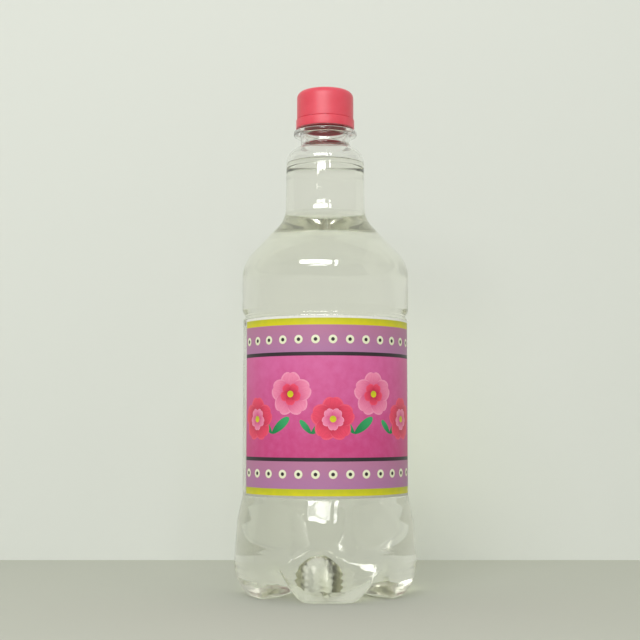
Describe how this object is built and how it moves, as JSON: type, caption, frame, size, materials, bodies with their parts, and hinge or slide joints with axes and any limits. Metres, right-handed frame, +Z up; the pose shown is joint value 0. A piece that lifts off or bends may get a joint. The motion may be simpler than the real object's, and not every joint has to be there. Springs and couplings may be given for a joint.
{
  "type": "rose water bottle",
  "caption": "Clear PET bottle of rose water with a wide neck, a domed shoulder, a recessed wrap label, five feet and a red screw cap.",
  "frame": {"origin": "on the bottle's axis, at the plane that its feet stand on", "axes": "+Z up along the bottle's axis; the middle of the label faces about -Y"},
  "size_m": [0.0922, 0.0921, 0.2573],
  "materials": {
    "clear_pet": "clear blown PET",
    "cap_plastic": "satin moulded polyethylene",
    "label_paper": "coated printed paper",
    "rose_water": "clear liquid"
  },
  "bodies": {
    "root": {"bottle": "clear_pet", "screw_cap": "cap_plastic", "wrap_label": "label_paper", "rose_water": "rose_water"}
  },
  "joints": []
}
